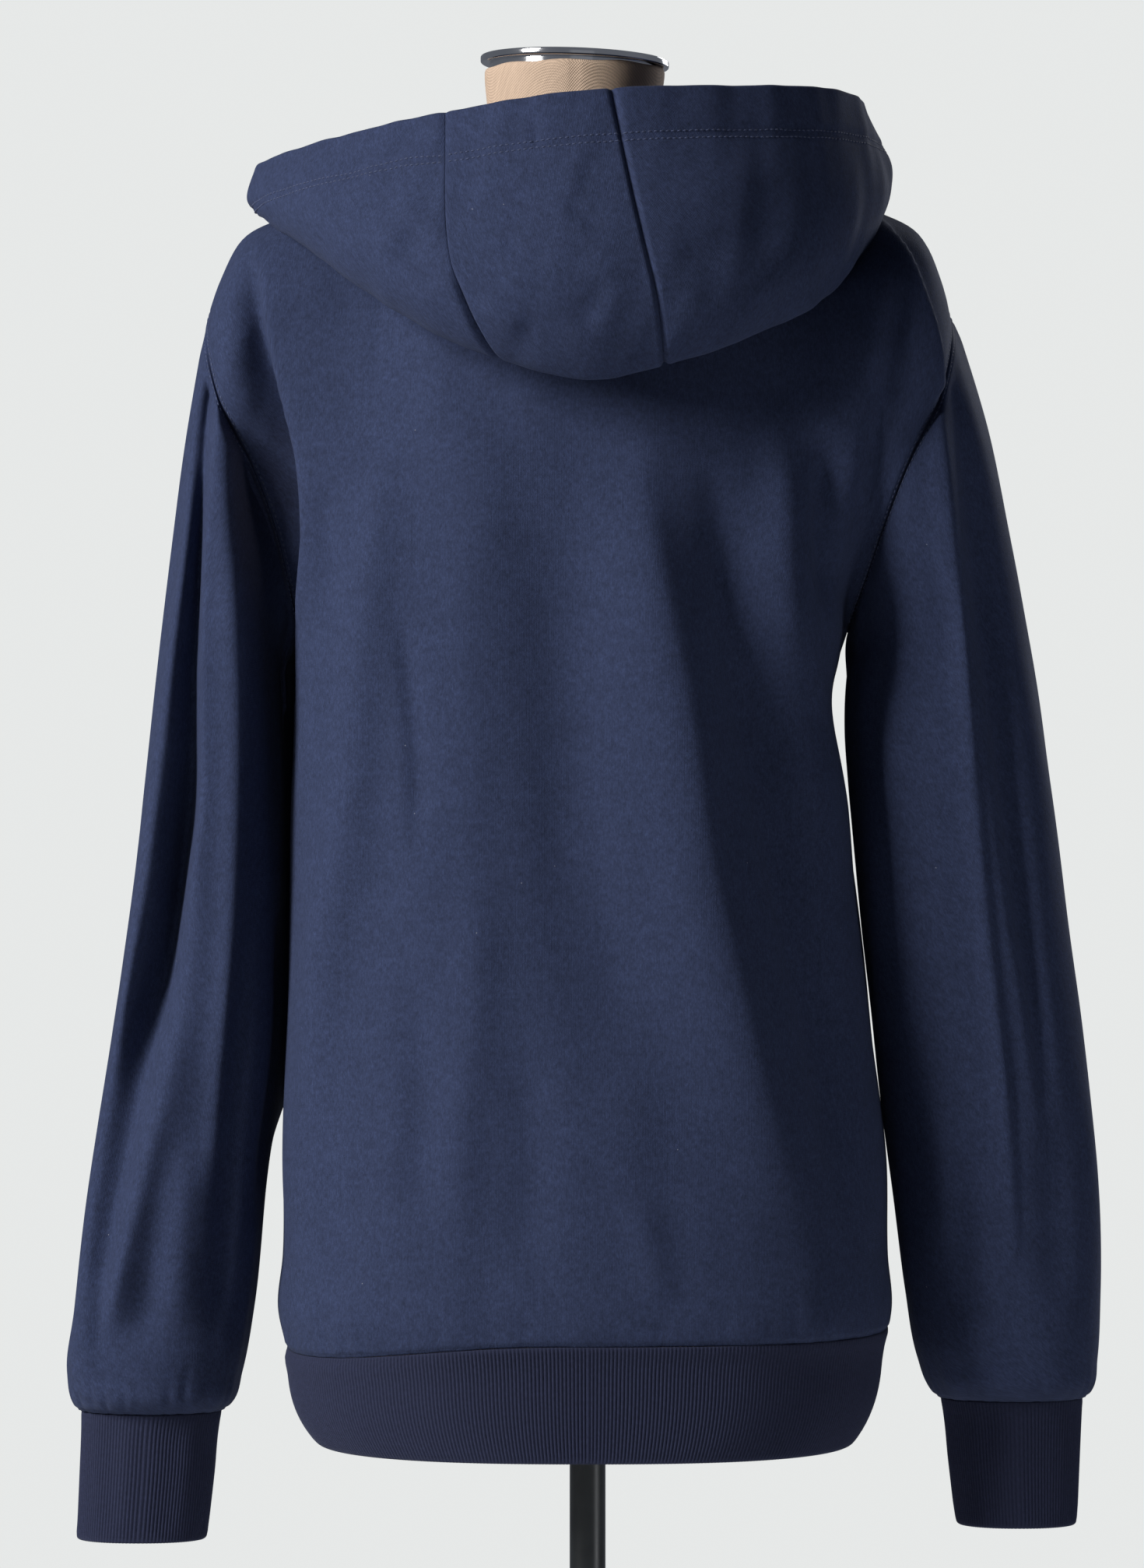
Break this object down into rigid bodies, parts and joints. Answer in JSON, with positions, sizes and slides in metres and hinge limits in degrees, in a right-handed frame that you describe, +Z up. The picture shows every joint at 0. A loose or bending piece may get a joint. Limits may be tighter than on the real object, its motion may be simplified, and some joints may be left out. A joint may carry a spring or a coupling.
{
  "type": "pullover hoodie on a limbless dress form with a floor stand",
  "caption": "Hooded pullover sweatshirt with the hood down, dropped sleeves, ribbed cuffs and hem, worn on a limbless linen dress form on a pole with a round base.",
  "frame": {"origin": "centre of the base plate's underside, on the floor under the pole", "axes": "+Z up along the pole, -Y the way the wearer faces, +X the wearer's left"},
  "size_m": [0.5645, 0.3476, 1.4428],
  "materials": {
    "fleece": "matt navy sweat fleece, fine jersey face",
    "rib": "matt dark navy one-by-one rib knit",
    "linen": "plain natural linen drawn tight",
    "chrome": "polished plate",
    "steel": "black satin powder coat"
  },
  "bodies": {
    "root": {"back_panel": "fleece", "front_panel": "fleece", "sleeve_left": "fleece", "sleeve_right": "fleece", "hood_left": "fleece", "hood_center": "fleece", "hood_right": "fleece", "cuff_left": "rib", "cuff_right": "rib", "hem_band": "rib", "form_torso": "linen", "neck_cap": "chrome", "stand_pole": "steel", "stand_base": "steel"}
  },
  "joints": []
}
